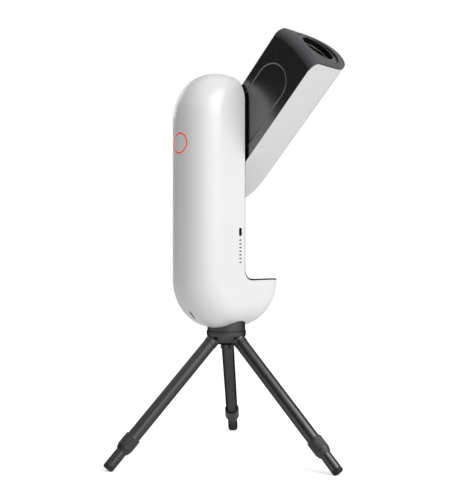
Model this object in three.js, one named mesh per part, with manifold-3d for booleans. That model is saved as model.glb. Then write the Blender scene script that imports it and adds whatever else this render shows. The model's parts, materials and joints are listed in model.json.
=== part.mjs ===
// All-in-one smart telescope: an upright capsule body that turns on a small tripod, with a side arm
// that holds the optics. The arm tilts about a horizontal axle and, lens down, it closes the capsule.
// Millimetres, +Z up. The ground is at z = 0, the front is -Y, and the arm is on the +X side.

import * as THREE from 'three';
import { mergeVertices } from 'three/addons/utils/BufferGeometryUtils.js';
import Module from 'manifold-3d';

const wasm = await Module();
wasm.setup();

// ---------- driving dimensions ----------

const GAP = 0.3; // clearance between neighbouring pieces

// Place of the azimuth axis, which puts the middle of the object's footprint over the origin.
const AZIMUTH_X = 15;
const AZIMUTH_Y = 35;

// Capsule body: the arm and the body together fill one rounded slab.
const BODY_BOTTOM = 208.2; // height of the underside over the ground
const BODY_WIDTH = 200;
const BODY_HEIGHT = 400;
const BODY_DEPTH = 90;
const BODY_CORNER = 77; // outline corners, seen from the front
const EDGE_ROUND = 43; // rounding from the front and back faces to the narrow sides
const SHELL_WALL = 2.7;

// Split between body and arm.
const BODY_FACE_X = -5.4; // dark liner's face
const ARM_FACE_X = -1.5; // arm's inner face
const LINER_STEP = 0.9; // the liner stands this far out of the white shell
const LINER_THICKNESS = 2.4;
const PIVOT_HEIGHT = 283; // altitude axle over the body's underside
const ARM_TILT = THREE.MathUtils.degToRad(44.5); // from upright, towards the front
const ARM_REACH = 209.5; // axle to the curved lens end
const ARM_TAIL = BODY_HEIGHT - PIVOT_HEIGHT;
const ARM_CORNER = 95;
const ARM_END_ROUND = 15;
const SWEEP_GAP = 1.3; // the lens end passes the step with this clearance
const CAP_THICKNESS = 2.3;
const COVER_THICKNESS = 2.4;

// Button and power inlet in the body's narrow side.
const BUTTON_HEIGHT = 285;
const BUTTON_Y = 5; // behind the middle of the side
const BUTTON_RADIUS = 13.7;
const BUTTON_TRAVEL = 0.8;
const LIGHT_RING_WIDTH = 1.8;
const INLET_ANGLE = THREE.MathUtils.degToRad(45); // below the horizontal
const INLET_LENGTH = 16;
const INLET_WIDTH = 2;

// Optics.
const OPTIC_X = 48.5;
const OPENING_RADIUS = 27.8;
const RING_RADIUS = 37;
const RING_TOP = 207.4;
const RING_EDGE = 205.9;
const RING_BOTTOM = 200;
const NOTCH_ANGLE = THREE.MathUtils.degToRad(138);
const STADIUM_RADIUS = 31.7; // plate around the axle
const STADIUM_TOP = 132;

// Focus drive.
const SCREW_X = 85;
const CARRIAGE_Z = 26;
const FOCUS_LUG_TOP = 6;

// Chassis casting and the main board on it.
const WALL_X = -19;
const WALL_THICKNESS = 8;
const SHELF_LOW = 44;
const SHELF_TOP = 49;
const BOARD_X = -22.3;
const BOARD_LOW = 70;
const BOARD_TOP = 215;

// Tripod.
const LEG_COUNT = 3;
const LEG_SIDES = 16;
const LEG_TURN = THREE.MathUtils.degToRad(38.8); // direction of the first leg from +X
const LEG_SLOPE = THREE.MathUtils.degToRad(46.5); // below horizontal
const LEG_APEX = BODY_BOTTOM + 4.4; // the leg axes meet here
const LEG_END = 289.4; // distances below run along a leg from the apex
const SOCKET_END = 42.5;
const COLLAR_TOP = 228;
const COLLAR_TAPER = 248.7;
const COLLAR_END = 255.8;
const FOOT_TOP = 282.8;
const SOCKET_RADIUS = 10.7;
const SOCKET_BORE = 6.6;
const UPPER_TUBE_RADIUS = 10.3;
const UPPER_TUBE_BORE = 9;
const LOWER_TUBE_RADIUS = 8.6;
const LOWER_TUBE_BORE = 7;
const COLLAR_RADIUS = 12.4;
const CROWN_RADIUS = 31.6;
const SCREW_RADIUS = 4.7;
const CROWN_TOP = -6.4; // heights here are over the body's underside
const NECK_RADIUS = 30.4;

// Drives: one gear module, and a pinion on each motor.
const GEAR_MODULE = 1.5;
const PINION_TEETH = 12;
const AZIMUTH_TEETH = 42;
const ALTITUDE_TEETH = 48;
const GEAR_WIDTH = 6;
const AZIMUTH_GEAR_Z = 34;
const ALTITUDE_GEAR_X = -32;
const BUTTON_PLATE_X = -88.5;
const HUB_RADIUS = 18;
const SHAFT_RADIUS = 15;

// ---------- materials ----------

function paint(color, roughness, metalness) {
  return new THREE.MeshStandardMaterial({ color, roughness, metalness });
}

const whiteGloss = paint(0xf2f3f2, 0.18, 0);
const darkGloss = paint(0x2c2d30, 0.2, 0);
const satinGrey = paint(0x55575a, 0.4, 0);
const blackPlastic = paint(0x1d1d1f, 0.5, 0);
const blackAluminium = paint(0x26262a, 0.42, 0.6);
const aluminium = paint(0xb4b7ba, 0.35, 1);
const steel = paint(0x8d9094, 0.25, 1);
const brass = paint(0xb99a54, 0.35, 1);
const rubber = paint(0x141415, 0.85, 0);
const glass = paint(0x24342f, 0.03, 0);
const orangeRing = paint(0xf0401c, 0.35, 0);
const boardGreen = paint(0x1f5136, 0.5, 0);
const cellBlue = paint(0x2b4f86, 0.5, 0);

// ---------- solids ----------

function signedVolume(positions, indices) {
  const corners = [new THREE.Vector3(), new THREE.Vector3(), new THREE.Vector3()];
  let volume = 0;
  for (let i = 0; i < indices.length; i += 3) {
    corners.forEach((corner, k) => corner.fromArray(positions, 3 * indices[i + k]));
    volume += corners[0].dot(corners[1].cross(corners[2])) / 6;
  }
  return volume;
}

function solid(geometry) {
  const bare = geometry.clone();
  bare.deleteAttribute('normal');
  bare.deleteAttribute('uv');
  const merged = mergeVertices(bare, 1e-4);
  const vertProperties = new Float32Array(merged.attributes.position.array);
  const triVerts = new Uint32Array(merged.index.array);
  if (signedVolume(vertProperties, triVerts) < 0) {
    for (let i = 0; i < triVerts.length; i += 3) {
      [triVerts[i + 1], triVerts[i + 2]] = [triVerts[i + 2], triVerts[i + 1]];
    }
  }
  return new wasm.Manifold(new wasm.Mesh({ numProp: 3, vertProperties, triVerts }));
}

function toGeometry(body) {
  const mesh = body.getMesh();
  const geometry = new THREE.BufferGeometry();
  geometry.setAttribute('position', new THREE.BufferAttribute(mesh.vertProperties, 3));
  geometry.setIndex(new THREE.BufferAttribute(mesh.triVerts, 1));
  geometry.computeVertexNormals();
  return geometry;
}

function joined(...bodies) {
  return bodies.reduce((sum, body) => sum.add(body));
}

function cut(body, ...tools) {
  return tools.reduce((rest, tool) => rest.subtract(tool), body);
}

function box(x0, x1, y0, y1, z0, z1) {
  const geometry = new THREE.BoxGeometry(x1 - x0, y1 - y0, z1 - z0);
  geometry.translate((x0 + x1) / 2, (y0 + y1) / 2, (z0 + z1) / 2);
  return geometry;
}

function block(...sides) {
  return solid(box(...sides));
}

// Turned shape about Z, from [radius, height] pairs.
function turned(profile, segments = 24) {
  const points = profile.map(([radius, height]) => new THREE.Vector2(radius, height));
  return new THREE.LatheGeometry(points, segments);
}

// Turns a shape whose axis is three.js's Y to one whose axis is Z or X.
function alongZ(geometry) {
  return geometry.rotateX(Math.PI / 2);
}

function alongX(geometry) {
  return geometry.rotateZ(-Math.PI / 2);
}

function turnedZ(profile, segments) {
  return solid(alongZ(turned(profile, segments)));
}

function turnedX(profile, segments) {
  return solid(alongX(turned(profile, segments)));
}

function tubeProfile(inner, outer, low, high) {
  return [[inner, low], [outer, low], [outer, high], [inner, high], [inner, low]];
}

function rodProfile(radius, low, high) {
  return [[0, low], [radius, low], [radius, high], [0, high]];
}

function moved(body, x, y, z) {
  return body.translate([x, y, z]);
}

function arcPoints(centreX, centreY, radius, startDegrees, endDegrees, steps) {
  const points = [];
  for (let i = 0; i <= steps; i += 1) {
    const angle = THREE.MathUtils.degToRad(startDegrees + ((endDegrees - startDegrees) * i) / steps);
    points.push([centreX + radius * Math.cos(angle), centreY + radius * Math.sin(angle)]);
  }
  return points;
}

function shapeOf(points) {
  return new THREE.Shape(points.map(([x, y]) => new THREE.Vector2(x, y)));
}

// Slab in the XZ plane with rounded outline corners, and its depth, along Y, rounded over at the edges.
function roundedSlab({ left, right, bottom, top, depth, lowCorner, highCorner, edge, steps, edgeSteps }) {
  const outline = [
    ...arcPoints(right - lowCorner, bottom + lowCorner, lowCorner, -90, 0, steps),
    ...arcPoints(right - highCorner, top - highCorner, highCorner, 0, 90, steps),
    ...arcPoints(left + highCorner, top - highCorner, highCorner, 90, 180, steps),
    ...arcPoints(left + lowCorner, bottom + lowCorner, lowCorner, 180, 270, steps),
  ];
  const flat = depth - 2 * edge;
  const geometry = new THREE.ExtrudeGeometry(shapeOf(outline), {
    depth: flat,
    bevelEnabled: true,
    bevelThickness: edge,
    bevelSize: edge,
    bevelOffset: -edge,
    bevelSegments: edgeSteps,
    steps: 1,
  });
  geometry.translate(0, 0, -flat / 2);
  return solid(geometry.rotateX(Math.PI / 2));
}

// The same slab made smaller all round by a margin.
function insetSlab(slab, margin) {
  return roundedSlab({
    ...slab,
    left: slab.left + margin,
    right: slab.right - margin,
    bottom: slab.bottom + margin,
    top: slab.top - margin,
    depth: slab.depth - 2 * margin,
    lowCorner: slab.lowCorner - margin,
    highCorner: slab.highCorner - margin,
    edge: slab.edge - margin,
  });
}

// Space that the arm's lens end sweeps: a disc about the axle with a rounded rim on the body's side.
function sweptDisc(faceX, reach, rimRound) {
  const rim = arcPoints(faceX + rimRound, reach - rimRound, rimRound, 180, 90, 6);
  const profile = [[0, faceX], ...rim.map(([x, radius]) => [radius, x]), [reach, 130], [0, 130]];
  return turnedX(profile, 96);
}

function gear(teeth, boreRadius, width) {
  const pitchRadius = (teeth * GEAR_MODULE) / 2;
  const pitchAngle = (2 * Math.PI) / teeth;
  const corners = [
    [-0.3, pitchRadius - 1.15 * GEAR_MODULE],
    [-0.13, pitchRadius + 0.8 * GEAR_MODULE],
    [0.13, pitchRadius + 0.8 * GEAR_MODULE],
    [0.3, pitchRadius - 1.15 * GEAR_MODULE],
  ];
  const outline = [];
  for (let tooth = 0; tooth < teeth; tooth += 1) {
    for (const [share, radius] of corners) {
      const angle = (tooth + share) * pitchAngle;
      outline.push([radius * Math.cos(angle), radius * Math.sin(angle)]);
    }
  }
  const shape = shapeOf(outline);
  const bore = new THREE.Path();
  bore.absarc(0, 0, boreRadius, 0, 2 * Math.PI, true);
  shape.holes.push(bore);
  return solid(new THREE.ExtrudeGeometry(shape, { depth: width, bevelEnabled: false, curveSegments: 12 }));
}

// A gear that lies across the X axis, its first tooth pointing up.
function gearAcrossX(teeth, boreRadius, width) {
  return gear(teeth, boreRadius, width).rotate([0, 90, 0]).rotate([180, 0, 0]);
}

function gearDistance(teeth) {
  return ((teeth + PINION_TEETH) * GEAR_MODULE) / 2 + 0.25;
}

function motor(radius, length, shaftRadius, shaftLength) {
  return joined(
    turnedZ(rodProfile(radius, 0, length), 24),
    turnedZ(rodProfile(radius * 0.5, length - 1, length + 2), 24),
    turnedZ(rodProfile(shaftRadius, length, length + shaftLength), 16),
  );
}

// ---------- scene graph ----------

const telescope = new THREE.Group();
const tripod = new THREE.Group();
const head = new THREE.Group();
const arm = new THREE.Group();

telescope.position.set(AZIMUTH_X, AZIMUTH_Y, 0);
head.position.z = BODY_BOTTOM;
arm.position.z = PIVOT_HEIGHT;
arm.rotation.x = ARM_TILT;
telescope.add(tripod, head);
head.add(arm);

function addPiece(group, name, body, material) {
  const mesh = new THREE.Mesh(toGeometry(body), material);
  mesh.name = name;
  group.add(mesh);
}

// ---------- tripod ----------

const crownFrame = new THREE.Group();
crownFrame.position.z = BODY_BOTTOM;
tripod.add(crownFrame);

// A leg's own axis points down and outwards, with distances from the apex.
function legMatrix(index) {
  const turn = LEG_TURN + (index * 2 * Math.PI) / LEG_COUNT;
  return new THREE.Matrix4()
    .makeTranslation(0, 0, LEG_APEX)
    .multiply(new THREE.Matrix4().makeRotationZ(turn))
    .multiply(new THREE.Matrix4().makeRotationY(Math.PI / 2 + LEG_SLOPE));
}

function crown() {
  const toCrown = new THREE.Matrix4().makeTranslation(0, 0, -BODY_BOTTOM);
  let body = turnedZ([
    [0, CROWN_TOP],
    [CROWN_RADIUS - 0.8, CROWN_TOP],
    [CROWN_RADIUS, CROWN_TOP - 0.8],
    [CROWN_RADIUS, CROWN_TOP - 6.5],
    [CROWN_RADIUS - 2.5, CROWN_TOP - 11],
    [CROWN_RADIUS - 9, CROWN_TOP - 17.5],
    [CROWN_RADIUS - 18, CROWN_TOP - 21.5],
    [0, CROWN_TOP - 21.5],
  ], 30);
  for (let leg = 0; leg < LEG_COUNT; leg += 1) {
    const matrix = toCrown.clone().multiply(legMatrix(leg));
    const socket = alongZ(turned(rodProfile(SOCKET_RADIUS, 20, SOCKET_END), LEG_SIDES));
    body = body.add(solid(socket.applyMatrix4(matrix)));
  }
  body = body.subtract(block(-60, 60, -60, 60, CROWN_TOP, 60));
  for (let leg = 0; leg < LEG_COUNT; leg += 1) {
    const matrix = toCrown.clone().multiply(legMatrix(leg));
    const bore = alongZ(turned(rodProfile(SOCKET_BORE, 29, SOCKET_END + 5), 16));
    body = body.subtract(solid(bore.applyMatrix4(matrix)));
  }
  return body.subtract(turnedZ(rodProfile(SCREW_RADIUS + GAP, -60, 10), 16));
}

function tripodScrew() {
  return joined(
    turnedZ([[0, -35], [8.4, -35], [9, -34.4], [9, -28.6], [8.6, -28.2], [0, -28.2]], 24),
    turnedZ(rodProfile(SCREW_RADIUS, -29, 9), 16),
  );
}

function azimuthHub() {
  const post = turnedZ([
    [5, CROWN_TOP + GAP],
    [25, CROWN_TOP + GAP],
    [25, CROWN_TOP + 3.2],
    [HUB_RADIUS, CROWN_TOP + 3.2],
    [HUB_RADIUS, 43],
    [12, 43],
    [12, 12],
    [5, 12],
    [5, CROWN_TOP + GAP],
  ], 24);
  return post;
}

function upperLegTube() {
  const outside = turnedZ([
    [0, 30],
    [SOCKET_BORE - GAP, 30],
    [SOCKET_BORE - GAP, SOCKET_END + GAP],
    [UPPER_TUBE_RADIUS, SOCKET_END + GAP],
    [UPPER_TUBE_RADIUS, COLLAR_TAPER - 2.5],
    [0, COLLAR_TAPER - 2.5],
  ], LEG_SIDES);
  return outside.subtract(turnedZ(rodProfile(UPPER_TUBE_BORE, 60, COLLAR_END), LEG_SIDES));
}

function twistCollar() {
  return turnedZ([
    [UPPER_TUBE_RADIUS + GAP, COLLAR_TOP],
    [COLLAR_RADIUS - 0.6, COLLAR_TOP],
    [COLLAR_RADIUS, COLLAR_TOP + 0.8],
    [COLLAR_RADIUS, COLLAR_TAPER],
    [LOWER_TUBE_RADIUS + 1.4, COLLAR_END],
    [LOWER_TUBE_RADIUS + GAP, COLLAR_END],
    [LOWER_TUBE_RADIUS + GAP, COLLAR_TAPER - 2],
    [UPPER_TUBE_RADIUS + GAP, COLLAR_TAPER - 2],
    [UPPER_TUBE_RADIUS + GAP, COLLAR_TOP],
  ], LEG_SIDES);
}

function lowerLegTube() {
  return turnedZ(tubeProfile(LOWER_TUBE_BORE, LOWER_TUBE_RADIUS, 120, FOOT_TOP - GAP), LEG_SIDES);
}

// The rubber foot has a plug in the tube and a sole cut level with the ground.
function rubberFoot() {
  const foot = turnedZ([
    [0, FOOT_TOP - 12],
    [LOWER_TUBE_BORE - GAP, FOOT_TOP - 12],
    [LOWER_TUBE_BORE - GAP, FOOT_TOP],
    [LOWER_TUBE_RADIUS, FOOT_TOP],
    [LOWER_TUBE_RADIUS, LEG_END - 2],
    [LOWER_TUBE_RADIUS - 0.7, LEG_END - 0.8],
    [LOWER_TUBE_RADIUS - 2.4, LEG_END],
    [0, LEG_END],
  ], LEG_SIDES);
  const ground = box(-400, 400, -400, 400, -60, 0).applyMatrix4(legMatrix(0).invert());
  return foot.subtract(solid(ground));
}

function addLeg(index) {
  const leg = new THREE.Group();
  leg.applyMatrix4(legMatrix(index));
  tripod.add(leg);
  const number = index + 1;
  addPiece(leg, `upper_leg_tube_${number}`, upperLegTube(), blackAluminium);
  addPiece(leg, `twist_collar_${number}`, twistCollar(), blackPlastic);
  addPiece(leg, `lower_leg_tube_${number}`, lowerLegTube(), blackAluminium);
  addPiece(leg, `rubber_foot_${number}`, rubberFoot(), rubber);
}

addPiece(crownFrame, 'tripod_crown', crown(), blackAluminium);
addPiece(crownFrame, 'tripod_screw', tripodScrew(), blackAluminium);
addPiece(crownFrame, 'azimuth_hub', azimuthHub(), aluminium);
addPiece(
  crownFrame,
  'azimuth_ring_gear',
  moved(gear(AZIMUTH_TEETH, HUB_RADIUS + GAP, GEAR_WIDTH), 0, 0, AZIMUTH_GEAR_Z),
  brass,
);
addPiece(
  crownFrame,
  'azimuth_inner_race',
  moved(turnedZ(tubeProfile(HUB_RADIUS + GAP, 21, 0, 7), 24), 0, 0, 23),
  steel,
);
for (let leg = 0; leg < LEG_COUNT; leg += 1) {
  addLeg(leg);
}

// ---------- capsule body ----------

const bodySlab = {
  left: -BODY_WIDTH / 2,
  right: BODY_WIDTH / 2,
  bottom: 0,
  top: BODY_HEIGHT,
  depth: BODY_DEPTH,
  lowCorner: BODY_CORNER,
  highCorner: BODY_CORNER,
  edge: EDGE_ROUND,
  steps: 8,
  edgeSteps: 6,
};

const FLOOR_RADIUS = ARM_REACH + SWEEP_GAP;
const FLOOR_ROUND = FLOOR_RADIUS - (ARM_REACH - ARM_END_ROUND);

// Everything beside and above the step, cut with a margin around the liner's visible face.
function notchSpace(margin) {
  return moved(
    sweptDisc(BODY_FACE_X - margin, FLOOR_RADIUS + margin, FLOOR_ROUND + margin),
    0,
    0,
    PIVOT_HEIGHT,
  );
}

function onButtonAxis(profile, segments) {
  return moved(turnedX(profile, segments), 0, BUTTON_Y, BUTTON_HEIGHT);
}

function buttonRod(radius) {
  return onButtonAxis(rodProfile(radius, -110, -60), 40);
}

// Bar with round ends along the body's lower left corner, between two depths under its surface.
function inletBar(length, width, low, high) {
  const radius = width / 2;
  const reach = length / 2 - radius;
  const outline = [...arcPoints(reach, 0, radius, -90, 90, 6), ...arcPoints(-reach, 0, radius, 90, 270, 6)];
  const geometry = new THREE.ExtrudeGeometry(shapeOf(outline), { depth: high - low, bevelEnabled: false });
  geometry.translate(0, 0, BODY_CORNER + low);
  geometry.rotateY(-Math.PI / 2 - INLET_ANGLE);
  geometry.translate(-BODY_WIDTH / 2 + BODY_CORNER, 0, BODY_CORNER);
  return solid(geometry);
}

function bodyShell() {
  const outside = roundedSlab(bodySlab);
  const hollow = insetSlab({ ...bodySlab, steps: 7, edgeSteps: 5 }, SHELL_WALL);
  return cut(
    outside,
    hollow,
    notchSpace(LINER_STEP),
    buttonRod(BUTTON_RADIUS + LIGHT_RING_WIDTH + 2 * GAP),
    turnedZ(rodProfile(HUB_RADIUS + 3, -5, 12), 24),
    inletBar(INLET_LENGTH + 2 * GAP, INLET_WIDTH + 2 * GAP, -12, 5),
  );
}

// The dark liner closes the shell beside and under the parked arm: a thin flange on the rim and a plug.
function bodyLiner() {
  const rim = insetSlab({ ...bodySlab, steps: 9 }, 0.1);
  const opening = insetSlab({ ...bodySlab, steps: 7, edgeSteps: 5 }, SHELL_WALL + GAP);
  const flange = rim.subtract(notchSpace(0)).intersect(notchSpace(LINER_STEP - GAP));
  const plug = opening.subtract(notchSpace(LINER_STEP - GAP - 0.05)).intersect(notchSpace(LINER_THICKNESS));
  const axleHole = moved(turnedX(rodProfile(SHAFT_RADIUS + 0.6, -40, 10), 24), 0, 0, PIVOT_HEIGHT);
  return flange.add(plug).subtract(axleHole);
}

// The neck turns with the body and its top follows the body's rounded underside.
function neckCollar() {
  const ring = turnedZ([
    [HUB_RADIUS + 1, -3],
    [25.8, -3],
    [25.8, CROWN_TOP + 0.6],
    [NECK_RADIUS, CROWN_TOP + 0.6],
    [NECK_RADIUS, 16],
    [HUB_RADIUS + 1, 16],
    [HUB_RADIUS + 1, -3],
  ], 36);
  return ring.subtract(moved(roundedSlab({ ...bodySlab, depth: BODY_DEPTH + 2 * GAP }), 0, 0, -GAP));
}

const MOTOR_FACE_X = ALTITUDE_GEAR_X - 9;
const MOTOR_HEIGHT = PIVOT_HEIGHT - gearDistance(ALTITUDE_TEETH);

function boardPads() {
  const pads = [];
  for (const low of [BOARD_LOW + 6, BOARD_TOP - 14]) {
    for (const side of [-26, 26]) {
      pads.push(block(BOARD_X + GAP, WALL_X + 1, side - 4, side + 4, low, low + 8));
    }
  }
  return pads;
}

// One casting: the floor holds the azimuth bearing, the shelf the azimuth motor, and the wall the axle's
// bearing.
function chassisFrame() {
  const wallEnd = WALL_X + WALL_THICKNESS;
  return cut(
    joined(
      block(-48, 54, -28, 28, 22, 31),
      block(-48, -40, -28, 28, 30, SHELF_TOP),
      block(52, 58, -20, 20, 30, SHELF_TOP),
      block(-48, 58, -28, 28, SHELF_LOW, SHELF_TOP),
      block(WALL_X, wallEnd, -31, 31, SHELF_LOW, 325),
      moved(turnedX(rodProfile(30, WALL_X, wallEnd), 24), 0, 0, PIVOT_HEIGHT),
      block(-76, -40, -20, 20, SHELF_LOW, SHELF_TOP),
      block(MOTOR_FACE_X, WALL_X + 1, 15, 19, MOTOR_HEIGHT - 16, MOTOR_HEIGHT + 3),
      block(MOTOR_FACE_X, WALL_X + 1, -19, -15, MOTOR_HEIGHT - 16, MOTOR_HEIGHT + 3),
      block(MOTOR_FACE_X, MOTOR_FACE_X + 4, -19, 19, MOTOR_HEIGHT - 16, MOTOR_HEIGHT + 8),
      ...boardPads(),
    ),
    turnedZ(rodProfile(25 + GAP, 10, SHELF_LOW), 24),
    moved(turnedZ(rodProfile(5, 10, 80), 16), gearDistance(AZIMUTH_TEETH), 0, 0),
    moved(turnedX(rodProfile(21 + GAP, WALL_X - 1, 10), 24), 0, 0, PIVOT_HEIGHT),
    moved(turnedX(rodProfile(6, MOTOR_FACE_X - 5, WALL_X - 1)), 0, 0, MOTOR_HEIGHT),
    block(WALL_X - 5, wallEnd + 5, -18, 18, 70, 200),
  );
}

function azimuthPinion() {
  const phase = 180 / PINION_TEETH;
  const wheel = gear(PINION_TEETH, 2.6, GEAR_WIDTH).rotate([0, 0, 180 + phase]);
  return moved(wheel, gearDistance(AZIMUTH_TEETH), 0, AZIMUTH_GEAR_Z);
}

function azimuthMotor() {
  const length = 16;
  const body = motor(12, length, 2.3, 14).rotate([180, 0, 0]);
  return moved(body, gearDistance(AZIMUTH_TEETH), 0, SHELF_TOP + GAP + 2 + length);
}

function altitudePinion() {
  const phase = 180 / PINION_TEETH;
  const wheel = gearAcrossX(PINION_TEETH, 2.6, GEAR_WIDTH).rotate([phase, 0, 0]);
  return moved(wheel, ALTITUDE_GEAR_X, 0, MOTOR_HEIGHT);
}

function altitudeMotor() {
  const length = 28;
  const body = motor(14, length, 2.3, 15).rotate([0, 90, 0]);
  return moved(body, MOTOR_FACE_X - 2 - GAP - length, 0, MOTOR_HEIGHT);
}

function powerButton() {
  const cap = buttonRod(BUTTON_RADIUS)
    .intersect(roundedSlab(bodySlab))
    .subtract(insetSlab(bodySlab, 2.4));
  const stem = onButtonAxis(rodProfile(4, -98.5, BUTTON_PLATE_X - BUTTON_TRAVEL - 2 * GAP), 16);
  return cap.add(stem);
}

function lightRing() {
  return buttonRod(BUTTON_RADIUS + LIGHT_RING_WIDTH + GAP)
    .subtract(buttonRod(BUTTON_RADIUS + GAP))
    .intersect(insetSlab(bodySlab, 0.05))
    .subtract(insetSlab(bodySlab, 5));
}

// Plate behind the button: it carries the switch and the ring's lights.
function buttonPlate() {
  return onButtonAxis(rodProfile(19, BUTTON_PLATE_X, BUTTON_PLATE_X + 2), 24);
}

// Rubber dome around the stem. The button's travel ends short of it.
function buttonSpring() {
  const top = -94.3;
  const foot = BUTTON_PLATE_X - GAP;
  return onButtonAxis([[4.6, top], [6.4, top], [8.6, foot], [6.8, foot], [4.6, top]], 20);
}

// Slim inlet with a wider housing behind the shell.
function powerSocket() {
  return cut(
    joined(
      inletBar(INLET_LENGTH, INLET_WIDTH, -6, -0.8),
      inletBar(INLET_LENGTH + 4, INLET_WIDTH + 5, -13, -SHELL_WALL - 2),
    ),
    inletBar(INLET_LENGTH - 1.2, INLET_WIDTH - 1.2, -9, 2),
  );
}

function mainBoard() {
  return joined(
    block(BOARD_X - 1.6, BOARD_X, -32, 32, BOARD_LOW, BOARD_TOP),
    block(BOARD_X - 5.5, BOARD_X - 1.5, -14, 14, BOARD_TOP - 65, BOARD_TOP - 37),
    block(BOARD_X - 4, BOARD_X - 1.5, -30, -18, BOARD_LOW + 20, BOARD_LOW + 40),
    block(BOARD_X - 8, BOARD_X - 1.5, 10, 26, BOARD_LOW + 14, BOARD_LOW + 26),
  );
}

function batteryPack() {
  return joined(
    block(-76, -46, -25, 25, SHELF_TOP + GAP, 182),
    block(-72, -50, -10, 10, 181.9, 186),
  );
}

addPiece(head, 'body_shell', bodyShell(), whiteGloss);
addPiece(head, 'body_liner', bodyLiner(), darkGloss);
addPiece(head, 'neck_collar', neckCollar(), blackAluminium);
addPiece(head, 'chassis_frame', chassisFrame(), aluminium);
addPiece(head, 'azimuth_outer_race', moved(turnedZ(tubeProfile(21.6, 25, 0, 7), 24), 0, 0, 23), steel);
addPiece(head, 'azimuth_motor', azimuthMotor(), steel);
addPiece(head, 'azimuth_pinion', azimuthPinion(), brass);
addPiece(head, 'altitude_motor', altitudeMotor(), steel);
addPiece(head, 'altitude_pinion', altitudePinion(), brass);
addPiece(
  head,
  'altitude_outer_race',
  moved(turnedX(tubeProfile(18.4, 21, WALL_X + 0.5, WALL_X + 7.5), 24), 0, 0, PIVOT_HEIGHT),
  steel,
);
addPiece(head, 'main_board', mainBoard(), boardGreen);
addPiece(head, 'battery_pack', batteryPack(), cellBlue);
addPiece(head, 'power_button', powerButton(), whiteGloss);
addPiece(head, 'light_ring', lightRing(), orangeRing);
addPiece(head, 'button_spring', buttonSpring(), rubber);
addPiece(head, 'button_plate', buttonPlate(), boardGreen);
addPiece(head, 'power_socket', powerSocket(), blackPlastic);

// ---------- arm, in its own frame: the axle at the origin, the optical axis along +Z ----------

const armSlab = {
  left: -BODY_WIDTH / 2,
  right: BODY_WIDTH / 2,
  bottom: -ARM_TAIL,
  top: ARM_REACH + 160,
  depth: BODY_DEPTH,
  lowCorner: ARM_CORNER,
  highCorner: ARM_CORNER,
  edge: EDGE_ROUND,
  steps: 9,
  edgeSteps: 7,
};

function armSpace(margin) {
  return sweptDisc(ARM_FACE_X + margin, ARM_REACH - margin, ARM_END_ROUND - margin);
}

// Layer under the lens end, from the start of the rounded rim outwards.
function endLayer(depth, startGap) {
  const inside = turnedX(rodProfile(ARM_REACH - ARM_END_ROUND - startGap, -20, 120), 96);
  return armSpace(0).subtract(armSpace(depth)).subtract(inside).intersect(block(-20, 120, -60, 60, 100, 260));
}

function armShell() {
  const hollow = insetSlab({ ...armSlab, steps: 7, edgeSteps: 5 }, SHELL_WALL);
  return cut(roundedSlab(armSlab).intersect(armSpace(0)), hollow, endLayer(CAP_THICKNESS + GAP, GAP));
}

function stadium(radius, low, high, x0, x1) {
  const outline = [...arcPoints(0, high, radius, 0, 180, 12), ...arcPoints(0, low, radius, 180, 360, 12)];
  const geometry = new THREE.ExtrudeGeometry(shapeOf(outline), { depth: x1 - x0, bevelEnabled: false });
  geometry.rotateX(Math.PI / 2).rotateZ(Math.PI / 2);
  geometry.translate(x0, 0, 0);
  return solid(geometry);
}

function armInnerCover() {
  const opening = insetSlab({ ...armSlab, steps: 7, edgeSteps: 5 }, SHELL_WALL + GAP);
  const layer = block(ARM_FACE_X, ARM_FACE_X + COVER_THICKNESS, -60, 60, -130, 260);
  const reach = turnedX(rodProfile(ARM_REACH - ARM_END_ROUND - GAP, -20, 40), 96);
  return cut(
    opening.intersect(layer).intersect(reach),
    stadium(STADIUM_RADIUS, 0, STADIUM_TOP, -20, 20),
  );
}

// The plate around the axle: it lies a little deeper than the cover.
function axlePlate() {
  return cut(
    stadium(STADIUM_RADIUS - 0.35, 0, STADIUM_TOP, ARM_FACE_X + 0.8, ARM_FACE_X + COVER_THICKNESS),
    turnedX(rodProfile(24.5, -20, 20), 24),
  );
}

function endCap() {
  const layer = roundedSlab(armSlab).intersect(endLayer(CAP_THICKNESS, 0));
  return layer.subtract(opticTurned(rodProfile(RING_RADIUS + GAP, 150, 240), 40));
}

// Turned shape about the optical axis.
function opticTurned(profile, segments = 40) {
  return moved(turnedZ(profile, segments), OPTIC_X, 0, 0);
}

// Removable front ring with two finger notches and a funnel-shaped mouth.
function frontRing() {
  const ring = opticTurned([
    [OPENING_RADIUS, RING_TOP],
    [RING_RADIUS, RING_EDGE],
    [RING_RADIUS, RING_BOTTOM],
    [31, RING_BOTTOM],
    [31, RING_BOTTOM - 3],
    [26.2, RING_BOTTOM - 3],
    [26.2, RING_BOTTOM],
    [OPENING_RADIUS, RING_TOP],
  ], 36);
  const notches = [0, Math.PI].map((side) => {
    const reach = RING_RADIUS + 1;
    const rod = turnedZ(rodProfile(3.4, RING_EDGE - 1.6, RING_TOP + 5), 16);
    return moved(rod, OPTIC_X + reach * Math.cos(NOTCH_ANGLE + side), reach * Math.sin(NOTCH_ANGLE + side), 0);
  });
  return cut(ring, ...notches);
}

// Focus drive: the carriage with the camera slides along the optical axis on a turning screw.
function screwRod(radius, low, high, segments) {
  return moved(turnedZ(rodProfile(radius, low, high), segments), SCREW_X, 0, 0);
}

// One tube from the camera to the front ring, with a slot and a lug for the focus drive.
function lensBarrel() {
  const tube = opticTurned([
    [29, 2],
    [32, 2],
    [32, RING_BOTTOM - 4],
    [28.5, RING_BOTTOM - 4],
    [28.5, 176],
    [25, 176],
    [25, 160],
    [29, 160],
    [29, 2],
  ], 24);
  const lug = block(OPTIC_X + 30, SCREW_X + 7, -9, 9, 2, FOCUS_LUG_TOP);
  const slot = block(OPTIC_X + 20, OPTIC_X + 40, -9, 9, FOCUS_LUG_TOP + 4, CARRIAGE_Z + 36);
  return cut(tube.add(lug), slot, screwRod(3, 0, 40, 12));
}

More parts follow.
